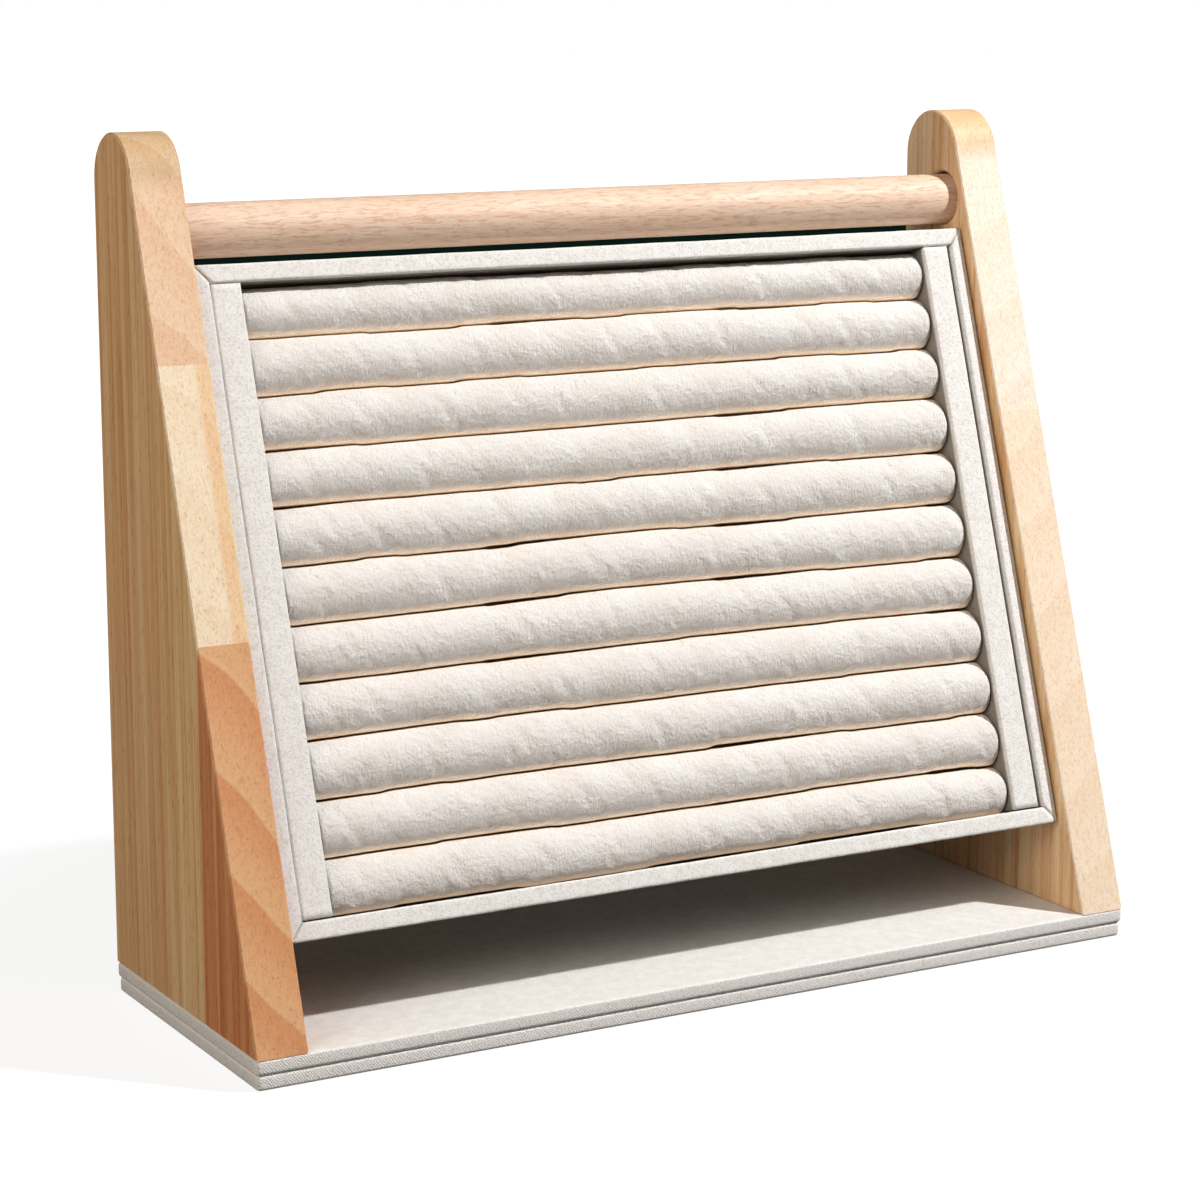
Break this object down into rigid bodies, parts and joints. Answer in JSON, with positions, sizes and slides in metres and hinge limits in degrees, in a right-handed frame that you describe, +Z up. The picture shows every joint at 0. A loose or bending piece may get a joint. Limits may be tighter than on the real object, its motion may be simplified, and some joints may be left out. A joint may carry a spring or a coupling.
{
  "type": "ring display tray",
  "caption": "Leaning ring display: padded plush rolls in a lift-out insert, held in a tray frame between wooden side panels on a wrapped base, with a carrying dowel.",
  "frame": {"origin": "centre of the base's underside", "axes": "+Z up, +X to the right seen from the front, -Y out of the front that the tray leans towards"},
  "size_m": [0.2804, 0.0982, 0.2413],
  "materials": {
    "panel_wood": "satin",
    "dowel_wood": "satin",
    "base_fabric": "matt",
    "tray_fabric": "matt",
    "plush": "matt",
    "foam": "matt",
    "fibreboard": "matt",
    "screw": "satin"
  },
  "bodies": {
    "stand": {"base_lower_board": "fibreboard", "base_lower_wrap": "base_fabric", "base_upper_board": "fibreboard", "base_upper_wrap": "base_fabric", "panel_screws": "screw", "left_side_panel": "panel_wood", "right_side_panel": "panel_wood", "tray_floor": "fibreboard", "tray_screws": "screw", "tray_bottom_wall": "fibreboard", "tray_top_wall": "fibreboard", "tray_left_wall": "fibreboard", "tray_right_wall": "fibreboard", "tray_bottom_wrap": "tray_fabric", "tray_top_wrap": "tray_fabric", "tray_left_wrap": "tray_fabric", "tray_right_wrap": "tray_fabric"},
    "handle": {"carrying_dowel": "dowel_wood"},
    "ring_insert": {"insert_backing": "fibreboard", "left_end_bar": "fibreboard", "left_end_wrap": "tray_fabric", "right_end_bar": "fibreboard", "right_end_wrap": "tray_fabric", "ring_roll_01": "plush", "ring_roll_02": "plush", "ring_roll_03": "plush", "ring_roll_04": "plush", "ring_roll_05": "plush", "ring_roll_06": "plush", "ring_roll_07": "plush", "ring_roll_08": "plush", "ring_roll_09": "plush", "ring_roll_10": "plush", "ring_roll_11": "plush", "roll_cores": "foam"}
  },
  "joints": [
    {"name": "dowel_turn", "type": "hinge", "parent": "stand", "child": "handle", "pos_m": [0, 0.02999, 0.21477], "axis": [1, 0, 0], "continuous": true},
    {"name": "insert_lift", "type": "slide", "parent": "stand", "child": "ring_insert", "axis": [0, -0.9511, 0.309], "range_m": [0, 0.04]}
  ]
}
